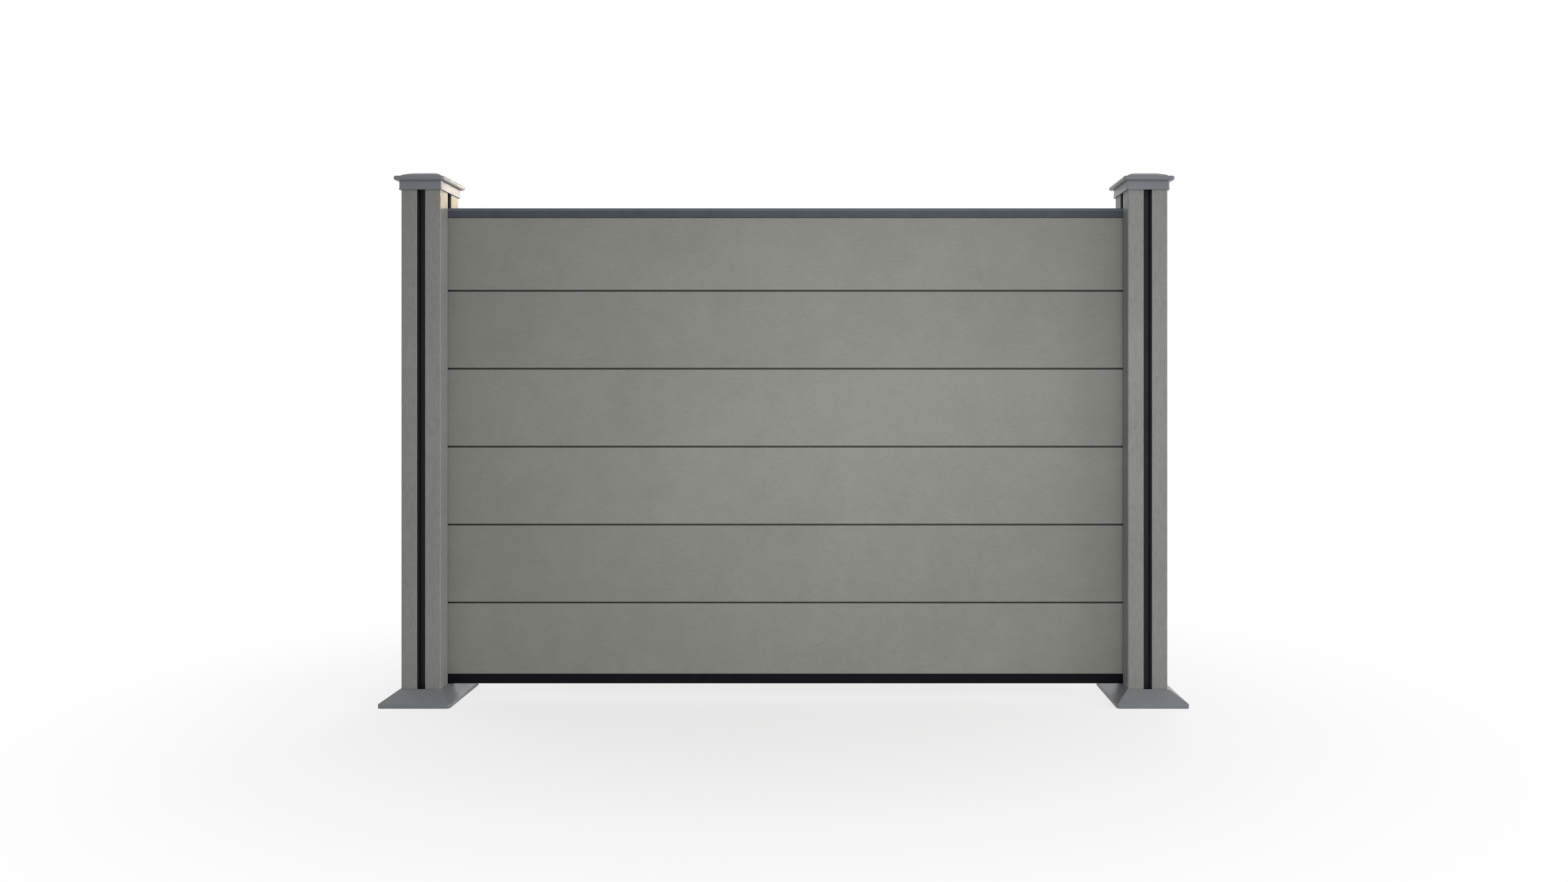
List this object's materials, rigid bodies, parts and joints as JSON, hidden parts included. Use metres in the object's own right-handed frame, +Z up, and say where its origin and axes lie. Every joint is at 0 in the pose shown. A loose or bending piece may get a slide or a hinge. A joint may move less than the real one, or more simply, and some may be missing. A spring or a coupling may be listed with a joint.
{
  "type": "composite privacy screen",
  "caption": "Free-standing privacy screen: grooved composite posts with caps and base skirts hold a panel of tongue-and-groove boards between ribbed rails.",
  "frame": {"origin": "on the ground, midway between the two posts, in the middle of their depth", "axes": "+X along the panel towards the right post, -Y towards the front, +Z up"},
  "size_m": [2.01, 0.18, 1.3424],
  "materials": {
    "board_composite": "brushed wood-plastic composite, fine grain along the board",
    "post_composite": "embossed wood-plastic composite, grain up the post",
    "rail_metal": "charcoal powder-coated aluminium",
    "liner_metal": "charcoal powder-coated aluminium",
    "moulded_plastic": "smooth satin grey moulding",
    "core_steel": "galvanised",
    "rest_plastic": "black moulding",
    "screw_steel": "zinc plated"
  },
  "bodies": {
    "root": {"board_1": "board_composite", "board_2": "board_composite", "board_3": "board_composite", "board_4": "board_composite", "board_5": "board_composite", "board_6": "board_composite", "bottom_rail": "rail_metal", "top_rail": "rail_metal", "left_post_sleeve": "post_composite", "left_post_core": "core_steel", "left_post_skirt": "moulded_plastic", "left_post_cap": "moulded_plastic", "left_fixing_screws": "screw_steel", "left_rail_rest": "rest_plastic", "left_inner_liner": "liner_metal", "left_outer_liner": "liner_metal", "left_front_liner": "liner_metal", "left_rear_liner": "liner_metal", "right_post_sleeve": "post_composite", "right_post_core": "core_steel", "right_post_skirt": "moulded_plastic", "right_post_cap": "moulded_plastic", "right_fixing_screws": "screw_steel", "right_rail_rest": "rest_plastic", "right_inner_liner": "liner_metal", "right_outer_liner": "liner_metal", "right_front_liner": "liner_metal", "right_rear_liner": "liner_metal"}
  },
  "joints": []
}
